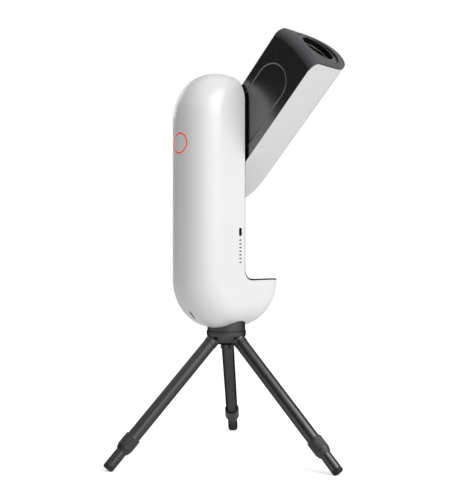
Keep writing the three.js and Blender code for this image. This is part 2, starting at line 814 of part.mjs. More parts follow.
function frontLens() {
  const front = arcPoints(0, 188 - 90, 90, 73.2, 90, 4).map(([radius, height]) => [radius, height + 2.4]);
  return opticTurned([[0, 178], [26, 178], ...front], 24);
}

function lensRetainer() {
  return opticTurned(tubeProfile(25.6, 28.2, 188.6, 192), 32);
}

function rearLens() {
  const front = arcPoints(0, 152 - 60, 60, 66, 90, 4);
  return opticTurned([[0, 140], [24.4, 140], ...front], 24);
}

function rearLensCell() {
  return opticTurned(tubeProfile(24.8, 28.6, 138, 156), 32);
}

function armSpine() {
  return cut(
    block(1.4, 5.4, -34, 34, -84, 180),
    turnedX(rodProfile(SHAFT_RADIUS + GAP, -20, 20), 24),
    block(-5, 10, -18, 18, 40, 110),
  );
}

// Saddle between the spine and the barrel.
function barrelSaddle(height) {
  return cut(
    block(5.7, 26, -30, 30, height, height + 14),
    opticTurned(rodProfile(32 + GAP, height - 5, height + 20)),
  );
}

function altitudeShaft() {
  return turnedX([
    [11, ALTITUDE_GEAR_X - 3],
    [SHAFT_RADIUS, ALTITUDE_GEAR_X - 3],
    [SHAFT_RADIUS, BODY_FACE_X + 1],
    [24, BODY_FACE_X + 1],
    [24, 1.1],
    [SHAFT_RADIUS, 1.1],
    [SHAFT_RADIUS, 10],
    [11, 10],
    [11, ALTITUDE_GEAR_X - 3],
  ], 24);
}

function shaftNut() {
  const hexagon = turnedX(rodProfile(20, 5.8, 10.5), 6);
  return hexagon.subtract(turnedX(rodProfile(SHAFT_RADIUS + GAP, 0, 20), 24));
}

function altitudeGear() {
  return moved(gearAcrossX(ALTITUDE_TEETH, SHAFT_RADIUS + GAP, GEAR_WIDTH), ALTITUDE_GEAR_X, 0, 0);
}

function cameraCarriage() {
  return cut(
    joined(
      opticTurned(rodProfile(28.3, CARRIAGE_Z, CARRIAGE_Z + 28), 24),
      block(OPTIC_X + 24, SCREW_X + 6, -8, 8, CARRIAGE_Z + 4, CARRIAGE_Z + 12),
    ),
    opticTurned(rodProfile(21, CARRIAGE_Z + 4, CARRIAGE_Z + 40), 24),
    screwRod(2.5 + GAP, 0, 80, 12),
  );
}

function sensorBoard() {
  return joined(
    block(OPTIC_X - 14, OPTIC_X + 14, -14, 14, CARRIAGE_Z + 4 + GAP, CARRIAGE_Z + 6),
    block(OPTIC_X - 6, OPTIC_X + 6, -5, 5, CARRIAGE_Z + 5.9, CARRIAGE_Z + 8),
  );
}

function coolingFins() {
  const fins = [];
  for (let i = 0; i < 5; i += 1) {
    const y = -14 + 7 * i;
    fins.push(block(OPTIC_X - 15, OPTIC_X + 15, y - 1.2, y + 1.2, CARRIAGE_Z - 12, CARRIAGE_Z - 3));
  }
  return joined(block(OPTIC_X - 17, OPTIC_X + 17, -17, 17, CARRIAGE_Z - 3.5, CARRIAGE_Z - GAP), ...fins);
}

function focusScrew() {
  return screwRod(2.5, 0.5, 66, 12);
}

function focusMotor() {
  return moved(turnedZ(rodProfile(8, -26, 0.2)), SCREW_X - 2, 0, 0);
}

addPiece(arm, 'arm_shell', armShell(), whiteGloss);
addPiece(arm, 'arm_inner_cover', armInnerCover(), darkGloss);
addPiece(arm, 'axle_plate', axlePlate(), darkGloss);
addPiece(arm, 'end_cap', endCap(), satinGrey);
addPiece(arm, 'front_ring', frontRing(), satinGrey);
addPiece(arm, 'lens_barrel', lensBarrel(), blackAluminium);
addPiece(arm, 'front_lens', frontLens(), glass);
addPiece(arm, 'lens_retainer', lensRetainer(), blackPlastic);
addPiece(arm, 'rear_lens', rearLens(), glass);
addPiece(arm, 'rear_lens_cell', rearLensCell(), blackAluminium);
addPiece(arm, 'arm_spine', armSpine(), aluminium);
addPiece(arm, 'barrel_saddle_front', barrelSaddle(152), aluminium);
addPiece(arm, 'barrel_saddle_rear', barrelSaddle(76), aluminium);
addPiece(arm, 'altitude_shaft', altitudeShaft(), steel);
addPiece(arm, 'shaft_nut', shaftNut(), steel);
addPiece(arm, 'altitude_gear', altitudeGear(), brass);
addPiece(
  arm,
  'altitude_inner_race',
  turnedX(tubeProfile(SHAFT_RADIUS + GAP, 17.9, WALL_X + 0.5, WALL_X + 7.5), 24),
  steel,
);
addPiece(arm, 'camera_carriage', cameraCarriage(), blackAluminium);
addPiece(arm, 'sensor_board', sensorBoard(), boardGreen);
addPiece(arm, 'cooling_fins', coolingFins(), aluminium);
addPiece(arm, 'focus_screw', focusScrew(), steel);
addPiece(arm, 'focus_motor', focusMotor(), steel);

export default telescope;
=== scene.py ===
import json
import math

import bpy
import numpy as np
from mathutils import Matrix, Vector


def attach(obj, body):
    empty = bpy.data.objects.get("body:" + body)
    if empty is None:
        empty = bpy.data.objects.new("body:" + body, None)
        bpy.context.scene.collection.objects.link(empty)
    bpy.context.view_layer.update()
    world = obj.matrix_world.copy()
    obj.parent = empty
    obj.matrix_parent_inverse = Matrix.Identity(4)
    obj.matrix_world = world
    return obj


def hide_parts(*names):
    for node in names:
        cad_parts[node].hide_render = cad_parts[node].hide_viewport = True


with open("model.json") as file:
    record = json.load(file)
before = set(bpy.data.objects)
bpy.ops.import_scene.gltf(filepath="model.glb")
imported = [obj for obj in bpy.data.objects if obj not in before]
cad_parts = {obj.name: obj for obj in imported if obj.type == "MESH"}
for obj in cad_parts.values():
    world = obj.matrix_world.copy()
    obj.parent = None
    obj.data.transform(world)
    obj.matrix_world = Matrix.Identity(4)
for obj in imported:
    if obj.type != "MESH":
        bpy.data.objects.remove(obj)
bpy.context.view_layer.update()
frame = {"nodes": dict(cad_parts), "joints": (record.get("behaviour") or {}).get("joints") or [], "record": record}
nodes = frame["nodes"]
joints = {joint["name"]: joint for joint in frame["joints"]}
scene = bpy.context.scene

# ---------- local frames, from the joints ----------

MM = Matrix.Scale(0.001, 4)
AZIMUTH = Vector(joints["azimuth"]["pos_m"])
PIVOT = Vector(joints["altitude"]["pos_m"])
OPTIC_AXIS = Vector(joints["front_ring_twist"]["axis"])
ARM_TILT = math.atan2(-OPTIC_AXIS.y, OPTIC_AXIS.z)
BODY_FRAME = Matrix.Translation(AZIMUTH) @ MM
ARM_FRAME = Matrix.Translation(PIVOT) @ Matrix.Rotation(ARM_TILT, 4, "X") @ MM
PIVOT_HEIGHT = (PIVOT.z - AZIMUTH.z) * 1000
OPTIC_X = (joints["front_ring_twist"]["pos_m"][0] - PIVOT.x) * 1000


def leg_frame(number):
    """Frame of a leg: its apex lies on the head's axis, and +Z runs down along the leg."""
    axis = Vector(joints[f"leg_{number}_extension"]["axis"]).normalized()
    on_axis = Vector(joints[f"leg_{number}_lock"]["pos_m"])
    reach = (on_axis - AZIMUTH).xy.length / axis.xy.length
    turn = Vector((0, 0, 1)).rotation_difference(axis).to_matrix().to_4x4()
    return Matrix.Translation(on_axis - axis * reach) @ turn @ MM


# ---------- driving dimensions, in millimetres ----------

# body and arm, which share their width and depth
CAPSULE_WIDTH = 200
CAPSULE_DEPTH = 90
FACE_EDGE = 43
SHELL_WALL = 2.7
GAP = 0.3
BODY_HEIGHT = 400
BODY_CORNER = 77
BODY_FACE_X = -5.4
BASE_HOLE = 21
ARM_BOTTOM = -117
ARM_CORNER = 95
ARM_FACE_X = -1.5
ARM_REACH = 209.5
ARM_END_ROUND = 15
ARM_OVERSHOOT = 160

# liner of the dark wall and the step
LINER_STEP = 0.9
LINER_SINK = 0.1
LINER_HOLE = 15.6
STEP_EDGE = 1.4
STEP_REACH = ARM_REACH + 1.3
STEP_ROUND = STEP_REACH - (ARM_REACH - ARM_END_ROUND)

# button, light ring and inlet
BUTTON_Z = 285
BUTTON_Y = 5
BUTTON_RADIUS = 13.7
BUTTON_THICKNESS = 2.4
LIGHT_WIDTH = 1.8
LIGHT_SINK = 0.05
LIGHT_DEPTH = 5
INLET_LENGTH = 16
INLET_WIDTH = 2
INLET_EDGE = 0.6

# inlays on the body's front
INLAY_X = -16.8
INLAY_DEPTH = 0.6
INLAY_PROUD = 0.06
WINDOW_SIZE = (6.4, 12.8)
WINDOW_Z = 150.7
WINDOW_CORNER = 2.6
DASH_SIZE = (4.8, 1.9)
DASH_TOP = 138
DASH_PITCH = 5.75
DASH_CORNER = 0.6
DASHES = 7

# arm: end cap, front ring, inner cover, axle plate and lens
CAP_THICKNESS = 2.3
COVER_EDGE = 1
COVER_DEPTH = 2.4
COVER_OVERLAP = 0.3
COVER_SINK = 0.12
RING_RADIUS = 37
RING_PLAY = 0.2
RING_TOP = 207.4
RING_SHOULDER = 205.9
RING_SEAT = 200
RING_UNDER = 197
RING_NECK = 31
RING_BORE = 25.4
# The paler step inside the front ring is a painted highlight: its faces keep the satin grey amid the black bore.
RING_PAINTED_HIGHLIGHT_STEP = (1.2, 2.6)  # heights over the ring's underside
OPENING_RADIUS = 27.8
CAP_OPENING = RING_RADIUS + 0.7
FINGER_RADIUS = 8
FINGER_TURN = 138
GROOVE_FLOOR = ARM_REACH - 4.5
GROOVE_WIDTH = 1
GROOVE_REACH = 43
NOTCH_RADIUS = 3.4
NOTCH_FLOOR = 204.3
STADIUM_RADIUS = 31.7
STADIUM_TOP = 132
AXLE_HOLE = 24.5
LENS_RADIUS = 26
LENS_BACK = 178
LENS_FRONT = 190.4
LENS_CURVE = 90
RETAINER_BORE = 25.6
RETAINER_RADIUS = 28.2
RETAINER_BACK = 188.6
RETAINER_FRONT = 192

# tripod: heights from the body's underside, and lengths along a leg from the apex
CROWN_TOP = -6.4
CROWN_RADIUS = 31.6
CROWN_DEPTH = 21.5
CAST_VOXEL = 0.85
SCREW_HOLE = 5
NECK_RADIUS = 30.4
NECK_SEAT = 25.8
NECK_BORE = 19
SOCKET_RADIUS = 10.7
SOCKET_BORE = 6.6
SOCKET_FLOOR = 29
SOCKET_END = 42.5
SPIGOT_START = 30
SPIGOT_END = 60
UPPER_TUBE_RADIUS = 10.3
UPPER_TUBE_BORE = 9
LOWER_TUBE_RADIUS = 8.6
LOWER_TUBE_BORE = 7
LOWER_TUBE_TOP = 120
COLLAR_RADIUS = 12.4
COLLAR_TOP = 228
COLLAR_TAPER = 248.7
COLLAR_END = 255.8
COLLAR_BAND = 3.2
RIBS = 44
RIB_DEPTH = 0.32
UPPER_TUBE_END = COLLAR_TAPER - 2.5
FOOT_TOP = 282.8
FOOT_PLUG = 12
LEG_END = 289.4

# steps round a full turn
LARGE_ROUND = 240
RING_ROUND = 144
LENS_ROUND = 128
USUAL_ROUND = 96
TUBE_ROUND = 64
SMALL_ROUND = 48


# ---------- meshes ----------

def new_object(name, vertices, faces):
    mesh = bpy.data.meshes.new(name)
    mesh.from_pydata([tuple(v) for v in vertices], [], faces)
    mesh.update()
    made = bpy.data.objects.new(name, mesh)
    scene.collection.objects.link(made)
    return made


def drop(*objects):
    for made in objects:
        bpy.data.objects.remove(made)


def bake(made):
    """Applies the object's modifiers."""
    bpy.context.view_layer.update()
    graph = bpy.context.evaluated_depsgraph_get()
    mesh = bpy.data.meshes.new_from_object(made.evaluated_get(graph))
    made.modifiers.clear()
    made.data = mesh
    return made


def boolean(made, operation, *tools):
    for tool in tools:
        change = made.modifiers.new("cut", "BOOLEAN")
        change.operation = operation
        change.solver = "EXACT"
        change.object = tool
        bake(made)
    drop(*tools)
    return made


def cut(made, *tools):
    return boolean(made, "DIFFERENCE", *tools)


def common(made, *tools):
    return boolean(made, "INTERSECT", *tools)


def turned_mesh(name, profile, segments=USUAL_ROUND, closed=False):
    """Turns (radius, height) pairs about Z.

    A closed profile is a ring's section, and an open one ends on the axis."""
    vertices, rows = [], []
    for radius, height in profile:
        if radius < 1e-6:
            rows.append([len(vertices)] * segments)
            vertices.append((0, 0, height))
            continue
        rows.append(list(range(len(vertices), len(vertices) + segments)))
        for i in range(segments):
            angle = 2 * math.pi * i / segments
            vertices.append((radius * math.cos(angle), radius * math.sin(angle), height))
    faces = []
    count = len(rows) if closed else len(rows) - 1
    for k in range(count):
        low, high = rows[k], rows[(k + 1) % len(rows)]
        for i in range(segments):
            j = (i + 1) % segments
            corners = [low[i], low[j], high[j], high[i]]
            faces.append(list(dict.fromkeys(corners)))
    return new_object(name, vertices, [f for f in faces if len(f) > 2])


def soften(points, radius, closed=False, steps=3):
    """Rounds the corners of a profile, less where its sides are short."""
    count = len(points)
    result = []
    for i, corner in enumerate(points):
        if not closed and i in (0, count - 1):
            result.append(tuple(corner))
            continue
        here = np.array(corner, float)
        before = np.array(points[i - 1], float) - here
        after = np.array(points[(i + 1) % count], float) - here
        reach = min(radius, 0.42 * np.linalg.norm(before), 0.42 * np.linalg.norm(after))
        start = here + before / np.linalg.norm(before) * reach
        end = here + after / np.linalg.norm(after) * reach
        for k in range(steps + 1):
            s = k / steps
            result.append(tuple((1 - s) ** 2 * start + 2 * s * (1 - s) * here + s**2 * end))
    return result


def moved(made, matrix):
    made.data.transform(matrix)
    if matrix.determinant() < 0:
        made.data.flip_normals()
    return made


def along_x(made):
    """Lays a shape turned about Z along +X."""
    return moved(made, Matrix.Rotation(math.pi / 2, 4, "Y"))


def rod(radius, low, high, segments=USUAL_ROUND):
    return turned_mesh("tool", [(0, low), (radius, low), (radius, high), (0, high)], segments)


def outline_prism(name, outline, low, high):
    """Solid between two planes of constant X, from a closed outline of (y, z) pairs."""
    count = len(outline)
    vertices = [(low, y, z) for y, z in outline] + [(high, y, z) for y, z in outline]
    faces = [list(range(count))[::-1], [count + i for i in range(count)]]
    faces += [[i, (i + 1) % count, count + (i + 1) % count, count + i] for i in range(count)]
    return new_object(name, vertices, faces)


def stadium(radius, low, high, steps=32):
    half = [math.pi * i / steps for i in range(steps + 1)]
    upper = [(radius * math.cos(a), high + radius * math.sin(a)) for a in half]
    lower = [(-radius * math.cos(a), low - radius * math.sin(a)) for a in half]
    return upper + lower


def block(low, high):
    size = Vector(high) - Vector(low)
    corners = [(i, j, k) for i in (0, 1) for j in (0, 1) for k in (0, 1)]
    vertices = [Vector(low) + Vector((size.x * i, size.y * j, size.z * k)) for i, j, k in corners]
    faces = [(0, 1, 3, 2), (4, 6, 7, 5), (0, 4, 5, 1), (2, 3, 7, 6), (0, 2, 6, 4), (1, 5, 7, 3)]
    return new_object("tool", vertices, faces)


# ---------- exact surfaces: each gives a signed distance and a normal at points ----------

class Slab:
    """Upright slab with rounded outline corners, whose front and back faces round over into its sides."""

    def __init__(self, left, right, bottom, top, depth, corner, edge):
        self.sides = (left, right, bottom, top)
        self.depth, self.corner, self.edge = depth, corner, edge

    def inset(self, margin):
        left, right, bottom, top = self.sides
        return Slab(
            left + margin, right - margin, bottom + margin, top - margin,
            self.depth - 2 * margin, self.corner - margin, self.edge - margin,
        )

    def centres(self):
        left, right, bottom, top = self.sides
        return left + self.corner, right - self.corner, bottom + self.corner, top - self.corner

    def field(self, points):
        x0, x1, z0, z1 = self.centres()
        plan = points[:, [0, 2]]
        centre = np.clip(plan, [x0, z0], [x1, z1])
        offset = plan - centre
        length = np.linalg.norm(offset, axis=1)
        core = np.minimum(length, self.corner - self.edge)
        near = centre + offset * (core / np.maximum(length, 1e-9))[:, None]
        half_flat = self.depth / 2 - self.edge
        middle = np.clip(points[:, 1], -half_flat, half_flat)
        away = points - np.stack([near[:, 0], middle, near[:, 1]], 1)
        distance = np.linalg.norm(away, axis=1)
        return distance - self.edge, away / np.maximum(distance, 1e-9)[:, None]

    def mesh(self, name="tool", corner_steps=36, edge_steps=20):
        x0, x1, z0, z1 = self.centres()
        corners = [(x1, z0, -90), (x1, z1, 0), (x0, z1, 90), (x0, z0, 180)]
        around = []
        for cx, cz, start in corners:
            for k in range(corner_steps + 1):
                angle = math.radians(start + 90 * k / corner_steps)
                around.append((cx, cz, math.cos(angle), math.sin(angle)))
        half_flat = self.depth / 2 - self.edge
        vertices = []
        levels = []
        for side in (-1, 1):
            for k in range(edge_steps + 1):
                bend = math.pi / 2 * (k / edge_steps if side > 0 else 1 - k / edge_steps)
                levels.append((side, bend))
        for side, bend in levels:
            radius = self.corner - self.edge * (1 - math.cos(bend))
            y = side * (half_flat + self.edge * math.sin(bend))
            vertices += [(cx + radius * c, y, cz + radius * s) for cx, cz, c, s in around]
        count = len(around)
        faces = [list(range(count)), [(len(levels) - 1) * count + i for i in range(count)][::-1]]
        for k in range(len(levels) - 1):
            for i in range(count):
                j = (i + 1) % count
                faces.append([k * count + j, k * count + i, (k + 1) * count + i, (k + 1) * count + j])
        return new_object(name, vertices, faces)


class Disc:
    """Half space past a face of constant X, inside a reach about the axle, with a rounded rim."""

    FAR_SIDE = 130

    def __init__(self, face, reach, rim, height=0):
        self.face, self.reach, self.rim, self.height = face, reach, rim, height

    def field(self, points):
        across = points - np.array([0, 0, self.height])
        across[:, 0] = 0
        radius = np.linalg.norm(across, axis=1)
        outward = across / np.maximum(radius, 1e-9)[:, None]
        u = self.face + self.rim - points[:, 0]
        w = radius - (self.reach - self.rim)
        round_part = (u > 0) & (w > 0)
        length = np.hypot(u, w)
        distance = np.where(round_part, length, np.maximum(u, w)) - self.rim
        share_u = np.where(round_part, u / np.maximum(length, 1e-9), (u > w) * 1.0)
        share_w = np.where(round_part, w / np.maximum(length, 1e-9), (u <= w) * 1.0)
        normal = outward * share_w[:, None]
        normal[:, 0] -= share_u
        return distance, normal

    def mesh(self, segments=LARGE_ROUND):
        rim = []
        for k in range(13):
            angle = math.radians(180 - 90 * k / 12)
            rim.append((
                self.reach - self.rim + self.rim * math.sin(angle),
                self.face + self.rim + self.rim * math.cos(angle),
            ))
        profile = [(0, self.face), *rim, (self.reach, self.FAR_SIDE), (0, self.FAR_SIDE)]
        disc = along_x(turned_mesh("tool", profile, segments))
        return moved(disc, Matrix.Translation((0, 0, self.height)))


class Pipe:
    """Cylinder about a line."""

    def __init__(self, radius, point, axis):
        self.radius, self.point, self.axis = radius, np.array(point, float), np.array(axis, float)

    def field(self, points):
        away = points - self.point
        away = away - np.outer(away @ self.axis, self.axis)
        radius = np.linalg.norm(away, axis=1)
        return radius - self.radius, away / np.maximum(radius, 1e-9)[:, None]


class Opposite:
    """The same surface seen from its other side, as where it was cut away."""

    def __init__(self, surface):
        self.surface = surface

    def field(self, points):
        distance, normal = self.surface.field(points)
        return distance, -normal


class Face:
    """Plane."""

    def __init__(self, point, normal):
        self.point, self.normal = np.array(point, float), np.array(normal, float)

    def field(self, points):
        return (points - self.point) @ self.normal, np.tile(self.normal, (len(points), 1))


FACING_WEIGHT = 2  # a face at a right angle to a surface counts as this many millimetres away from it


def settle(made, matrix, surfaces):
    """Gives every face the exact normals of the surface it lies on, then moves the piece into place.

    The surface of a face is the one that passes nearest to its corners and faces the same way."""
    mesh = made.data
    points = np.zeros(len(mesh.vertices) * 3)
    mesh.vertices.foreach_get("co", points)
    points = points.reshape(-1, 3)
    corner = np.zeros(len(mesh.loops), int)
    mesh.loops.foreach_get("vertex_index", corner)
    starts = np.zeros(len(mesh.polygons), int)
    mesh.polygons.foreach_get("loop_start", starts)
    totals = np.zeros(len(mesh.polygons), int)
    mesh.polygons.foreach_get("loop_total", totals)
    facing = np.zeros(len(mesh.polygons) * 3)
    mesh.polygons.foreach_get("normal", facing)
    facing = facing.reshape(-1, 3)
    found = [surface.field(points) for surface in surfaces]
    misses = []
    for distances, directions in found:
        mean = np.add.reduceat(directions[corner], starts) / totals[:, None]
        turned_away = 1 - (mean * facing).sum(1)
        away = np.maximum.reduceat(np.abs(distances)[corner], starts)
        misses.append(away + FACING_WEIGHT * turned_away)
    best = np.repeat(np.argmin(misses, 0), totals)
    normals = np.stack([n[corner] for _, n in found])[best, np.arange(len(corner))]
    turn = np.array(matrix.to_3x3().normalized())
    normals = normals @ turn.T
    lengths = np.linalg.norm(normals, axis=1)
    normals[lengths < 0.5] = (0, 0, 1)
    mesh.polygons.foreach_set("use_smooth", [True] * len(mesh.polygons))
    mesh.transform(matrix)
    mesh.normals_split_custom_set(normals.tolist())
    mesh.update()
    return made


def smooth(made, matrix, degrees=38):
    """Smooth shading with sharp edges kept, then the piece moves into place."""
    made.data.polygons.foreach_set("use_smooth", [True] * len(made.data.polygons))
    made.data.set_sharp_from_angle(angle=math.radians(degrees))
    made.data.transform(matrix)
    weighted = made.modifiers.new("flat faces stay flat", "WEIGHTED_NORMAL")
    weighted.keep_sharp = True
    return made


# ---------- materials ----------

def node(tree, kind, **values):
    made = tree.nodes.new(kind)
    for key, value in values.items():
        setattr(made, key, value)
    return made


def noise(tree, coordinates, scale, detail=4, stretch=None):
    source = coordinates
    if stretch:
        mapping = node(tree, "ShaderNodeMapping")
        mapping.inputs["Scale"].default_value = stretch
        tree.links.new(source, mapping.inputs["Vector"])
        source = mapping.outputs["Vector"]
    made = node(tree, "ShaderNodeTexNoise")
    made.inputs["Scale"].default_value = scale
    made.inputs["Detail"].default_value = detail
    tree.links.new(source, made.inputs["Vector"])
    return made.outputs["Fac"]


def spread(tree, value, low, high):
    """Maps a noise to a range."""
    made = node(tree, "ShaderNodeMapRange")
    made.inputs["From Min"].default_value = 0.3
    made.inputs["From Max"].default_value = 0.7
    made.inputs["To Min"].default_value = low
    made.inputs["To Max"].default_value = high
    tree.links.new(value, made.inputs["Value"])
    return made.outputs["Result"]


def blend_colours(tree, amount, first, second):
    made = node(tree, "ShaderNodeMix", data_type="RGBA")
    for socket in made.inputs:
        if socket.type == "RGBA":
            socket.default_value = (*(first if socket.name == "A" else second), 1)
    tree.links.new(amount, made.inputs["Factor"])
    return next(s for s in made.outputs if s.type == "RGBA")


def math_node(tree, operation, first, second):
    made = node(tree, "ShaderNodeMath", operation=operation)
    for socket, value in zip(made.inputs, (first, second)):
        if isinstance(value, float):
            socket.default_value = value
        else:
            tree.links.new(value, socket)
    return made.outputs["Value"]


def surface(
    name, colour, roughness, metallic=0.0, ior=1.5, gloss=0.5, edge=1.0, coat=0.0,
    tone=0.05, mottle=18, grain=900, bump=0.05, depth=0.00005, polish=0.04, stretch=None,
):
    """A finish with a slow change of tone, a patchy polish and a fine moulded, blasted or brushed grain."""
    made = bpy.data.materials.new(name)
    made.use_nodes = True
    tree = made.node_tree
    shader = tree.nodes["Principled BSDF"]
    coordinates = node(tree, "ShaderNodeTexCoord").outputs["Object"]
    tones = noise(tree, coordinates, mottle, 3)
    darker = [c * (1 - tone) for c in colour]
    lighter = [min(1.0, c * (1 + tone)) for c in colour]
    shade = blend_colours(tree, spread(tree, tones, 0, 1), darker, lighter)
    tree.links.new(shade, shader.inputs["Base Color"])
    smears = noise(tree, coordinates, mottle * 5, 6, stretch)
    tree.links.new(
        spread(tree, smears, max(0.02, roughness - polish), roughness + polish), shader.inputs["Roughness"]
    )
    texture = node(tree, "ShaderNodeBump")
    texture.inputs["Strength"].default_value = bump
    texture.inputs["Distance"].default_value = depth
    tree.links.new(noise(tree, coordinates, grain, 5, stretch), texture.inputs["Height"])
    tree.links.new(texture.outputs["Normal"], shader.inputs["Normal"])
    shader.inputs["Metallic"].default_value = metallic
    shader.inputs["IOR"].default_value = ior
    shader.inputs["Specular IOR Level"].default_value = gloss
    shader.inputs["Specular Tint"].default_value = (edge, edge, edge, 1)
    shader.inputs["Coat Weight"].default_value = coat
    shader.inputs["Coat Roughness"].default_value = 0.06
    return made


def lens_coating():
    """Dark coated glass, opaque: the tube behind it is black, and the coating's sheen is painted into the base
    colour.
    """
    made = surface(
        "lens_glass", (0.004, 0.007, 0.008), 0.04, ior=1.7, coat=1.0, tone=0.2, bump=0.0, polish=0.01
    )
    tree = made.node_tree
    shader = tree.nodes["Principled BSDF"]
    # Painted reflection: the base colour turns from green face-on to purple towards the rim, like the coating's
    # sheen.
    facing = node(tree, "ShaderNodeLayerWeight")
    facing.inputs["Blend"].default_value = 0.4
    painted_coating_sheen = blend_colours(tree, facing.outputs["Facing"], (0.002, 0.010, 0.009), (0.018, 0.006, 0.026))
    tree.links.new(painted_coating_sheen, shader.inputs["Base Color"])
    return made


def lit_ring():
    """Orange light guide, lit from behind."""
    made = surface("orange_ring", (0.80, 0.06, 0.018), 0.35, coat=0.3, tone=0.05, bump=0.03)
    shader = made.node_tree.nodes["Principled BSDF"]
    shader.inputs["Emission Color"].default_value = (0.9, 0.06, 0.02, 1)
    shader.inputs["Emission Strength"].default_value = 0.45
    return made


def board_finish():
    """Solder mask with copper tracks that show through as lighter lines."""
    made = surface("circuit_board", (0.012, 0.11, 0.05), 0.38, coat=0.4, tone=0.12, bump=0.1)
    tree = made.node_tree
    shader = tree.nodes["Principled BSDF"]
    tracks = node(tree, "ShaderNodeTexVoronoi", distance="MANHATTAN", feature="DISTANCE_TO_EDGE")
    tracks.inputs["Scale"].default_value = 260
    coordinates = node(tree, "ShaderNodeTexCoord").outputs["Object"]
    tree.links.new(coordinates, tracks.inputs["Vector"])
    between = spread(tree, tracks.outputs["Distance"], 0, 1)
    colour = blend_colours(tree, between, (0.03, 0.2, 0.09), (0.01, 0.09, 0.04))
    tree.links.new(colour, shader.inputs["Base Color"])
    return made


MATERIALS = {
    "white_shell": surface(
        "white_shell", (0.80, 0.81, 0.805), 0.24,
        coat=0.25, tone=0.008, mottle=9, grain=1500, bump=0.02, polish=0.03,
    ),
    "dark_gloss": surface(
        "dark_gloss", (0.004, 0.0042, 0.005), 0.24,
        ior=2.35, tone=0.04, mottle=14, grain=900, bump=0.001, polish=0.006,
    ),
    "satin_grey": surface(
        "satin_grey", (0.050, 0.052, 0.055), 0.42,
        tone=0.06, mottle=24, grain=1900, bump=0.12, polish=0.05,
    ),
    "black_plastic": surface(
        "black_plastic", (0.006, 0.006, 0.0065), 0.4,
        ior=1.75, tone=0.1, mottle=30, grain=2200, bump=0.15, polish=0.05,
    ),
    "black_anodised": surface(
        "black_anodised", (0.10, 0.10, 0.103), 0.26,
        metallic=1, edge=0.2, tone=0.06, mottle=20, grain=2400, bump=0.06,
    ),
    "bare_aluminium": surface(
        "bare_aluminium", (0.60, 0.61, 0.62), 0.33,
        metallic=1, tone=0.05, grain=500, bump=0.1, stretch=(1, 1, 9),
    ),
    "steel": surface(
        "steel", (0.48, 0.49, 0.51), 0.27, metallic=1, tone=0.06, grain=600, bump=0.1, stretch=(9, 1, 1)
    ),
    "brass": surface("brass", (0.66, 0.47, 0.19), 0.3, metallic=1, tone=0.09, grain=700, bump=0.1),
    "rubber": surface("rubber", (0.013, 0.013, 0.014), 0.68, tone=0.15, grain=1600, bump=0.3, polish=0.08),
    "lens_glass": lens_coating(),
    "orange_ring": lit_ring(),
    "circuit_board": board_finish(),
    "battery_wrap": surface("battery_wrap", (0.03, 0.085, 0.26), 0.3, tone=0.1, grain=700, bump=0.12),
}
INNER_BLACK = surface("inner_black", (0.003, 0.003, 0.0035), 0.5, gloss=0.1, tone=0.2, grain=2000, bump=0.3)
LINER_BLACK = surface("liner_black", (0.004, 0.004, 0.0045), 0.4, gloss=0.08, tone=0.1, bump=0.02)
MARK_GREY = surface("mark_grey", (0.03, 0.03, 0.031), 0.4, gloss=0.2, tone=0.1, bump=0.05)


def clad(made, slot_name, body, *cad_nodes):
    """Gives a piece its finish, the CAD body it rides on and the CAD nodes it stands for."""
    made.data.materials.clear()
    made.data.materials.append(MATERIALS[slot_name])
    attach(made, body)
    if cad_nodes:
        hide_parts(*cad_nodes)


def finish_cad_nodes():
    """Each CAD node gets its slot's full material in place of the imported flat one."""
    for part in frame["record"]["subparts"]:
        slots = nodes[part["node"]].material_slots
        for slot in slots:
            slot.material = MATERIALS[part["material_slot"]]


# ---------- capsule body ----------

BODY = Slab(
    -CAPSULE_WIDTH / 2, CAPSULE_WIDTH / 2, 0, BODY_HEIGHT, CAPSULE_DEPTH, BODY_CORNER, FACE_EDGE
)
BODY_HOLLOW = BODY.inset(SHELL_WALL)


def notch(edge, margin):
    """The space for the arm, larger by a margin all round, and by a further edge in its reach."""
    return Disc(BODY_FACE_X - margin, STEP_REACH + edge + margin, STEP_ROUND + margin, PIVOT_HEIGHT)


def liner_bed(margin):
    """What the shell is cut back to under the liner, which has a thicker edge along the step."""
    return notch(STEP_EDGE, margin)


def button_rod(radius, deep=40):
    """Rod about the button's axis, from outside the body to a depth under its side."""
    bar = along_x(rod(radius, -CAPSULE_WIDTH / 2 - 10, -CAPSULE_WIDTH / 2 + deep))
    return moved(bar, Matrix.Translation((0, BUTTON_Y, BUTTON_Z)))


def button_pipe(radius):
    return Pipe(radius, (0, BUTTON_Y, BUTTON_Z), (1, 0, 0))


def inlet_bar(length, width, low, high):
    """Bar with round ends along the lower left corner. Low and high count outwards from the surface."""
    outline = stadium(width / 2, -(length - width) / 2, (length - width) / 2, 12)
    bar = moved(outline_prism("tool", outline, low, high), Matrix.Rotation(-math.pi / 2, 4, "Y"))
    lean = Matrix.Rotation(-math.pi * 3 / 4, 4, "Y")
    corner_centre = Matrix.Translation((BODY_CORNER - CAPSULE_WIDTH / 2, 0, BODY_CORNER))
    return moved(bar, corner_centre @ lean @ Matrix.Translation((0, 0, BODY_CORNER)))


def body_shell():
    around_button = BUTTON_RADIUS + LIGHT_WIDTH + 2 * GAP
    shell = cut(
        BODY.mesh("body_shell_fine"),
        BODY_HOLLOW.mesh(),
        liner_bed(LINER_STEP).mesh(),
        button_rod(around_button),
        rod(BASE_HOLE, -5, 12),
        inlet_bar(INLET_LENGTH + 2 * GAP, INLET_WIDTH + 2 * GAP, -12, 5),
    )
    settle(shell, BODY_FRAME, [
        BODY,
        Opposite(BODY_HOLLOW),
        Opposite(liner_bed(LINER_STEP)),
        Opposite(button_pipe(around_button)),
        Opposite(Pipe(BASE_HOLE, (0, 0, 0), (0, 0, 1))),
    ])
    clad(shell, "white_shell", "head", "body_shell")


